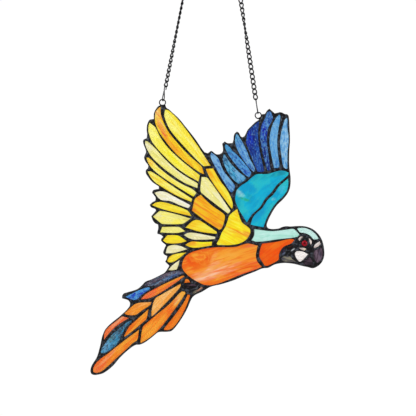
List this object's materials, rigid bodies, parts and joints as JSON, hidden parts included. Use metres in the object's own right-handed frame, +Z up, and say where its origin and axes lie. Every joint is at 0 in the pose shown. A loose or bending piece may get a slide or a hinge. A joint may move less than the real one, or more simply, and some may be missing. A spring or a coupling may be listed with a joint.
{
  "type": "stained glass panel",
  "caption": "Hanging stained glass panel cut to the outline of a flying macaw, with soldered lines, rings, S-hooks and curb chains.",
  "frame": {"origin": "the hanging point, midway between the crowns of the two upper S-hooks, in the panel's middle plane", "axes": "+Z up along the hanging chains, +X to the right as the viewer sees the front, +Y away from the viewer"},
  "size_m": [0.3156, 0.0093, 0.5289],
  "materials": {
    "black_solder": "black patina on hand-soldered lines, satin with grey rubbed highlights",
    "dark_chain": "darkened steel wire, satin",
    "glass_amber": "streaky hand-rolled art glass, glossy",
    "glass_beak": "streaky hand-rolled art glass, glossy",
    "glass_blue": "streaky hand-rolled art glass, glossy",
    "glass_cream": "streaky hand-rolled art glass, glossy",
    "glass_cyan": "streaky hand-rolled art glass, glossy",
    "glass_gold": "streaky hand-rolled art glass, glossy",
    "glass_lemon": "streaky hand-rolled art glass, glossy",
    "glass_mint": "streaky hand-rolled art glass, glossy",
    "glass_orange": "streaky hand-rolled art glass, glossy",
    "glass_red": "streaky hand-rolled art glass, glossy",
    "glass_royal": "streaky hand-rolled art glass, glossy",
    "glass_ruby": "polished cast jewel",
    "glass_sky": "streaky hand-rolled art glass, glossy",
    "glass_slate": "streaky hand-rolled art glass, glossy",
    "glass_teal": "streaky hand-rolled art glass, glossy",
    "glass_white": "streaky hand-rolled art glass, glossy"
  },
  "bodies": {
    "root": {"yellow_feather_01": "glass_lemon", "yellow_feather_02": "glass_amber", "yellow_feather_03": "glass_lemon", "yellow_feather_04": "glass_cream", "yellow_feather_05": "glass_lemon", "yellow_feather_06": "glass_amber", "yellow_feather_07": "glass_cream", "yellow_feather_08": "glass_gold", "yellow_feather_09": "glass_lemon", "yellow_feather_10": "glass_lemon", "yellow_feather_11": "glass_gold", "yellow_feather_12": "glass_cream", "yellow_feather_13": "glass_gold", "yellow_feather_14": "glass_cream", "yellow_covert_01": "glass_amber", "yellow_covert_02": "glass_cream", "yellow_covert_03": "glass_amber", "yellow_covert_04": "glass_gold", "yellow_covert_05": "glass_cream", "yellow_covert_06": "glass_orange", "yellow_covert_07": "glass_lemon", "blue_feather_01": "glass_blue", "blue_feather_02": "glass_teal", "blue_feather_03": "glass_blue", "blue_feather_04": "glass_sky", "blue_feather_05": "glass_royal", "blue_feather_06": "glass_royal", "blue_feather_07": "glass_sky", "blue_feather_08": "glass_sky", "cyan_covert_01": "glass_cyan", "cyan_covert_02": "glass_cyan", "tail_feather_01": "glass_slate", "tail_feather_02": "glass_blue", "tail_feather_03": "glass_red", "tail_feather_04": "glass_orange", "tail_feather_05": "glass_orange", "tail_feather_06": "glass_orange", "tail_feather_07": "glass_red", "tail_feather_08": "glass_teal", "tail_feather_09": "glass_orange", "tail_feather_10": "glass_orange", "tail_feather_11": "glass_orange", "tail_feather_12": "glass_orange", "tail_feather_13": "glass_cream", "body": "glass_orange", "neck": "glass_mint", "crown": "glass_mint", "cheek_red": "glass_red", "eye_patch_above": "glass_white", "eye_patch_front": "glass_white", "eye_patch_below": "glass_white", "cheek_white": "glass_white", "cere": "glass_white", "beak_upper": "glass_beak", "beak_lower": "glass_beak", "throat": "glass_slate", "eye_jewel": "glass_ruby", "solder_lattice": "black_solder", "chain_left": "dark_chain", "chain_right": "dark_chain"}
  },
  "joints": []
}
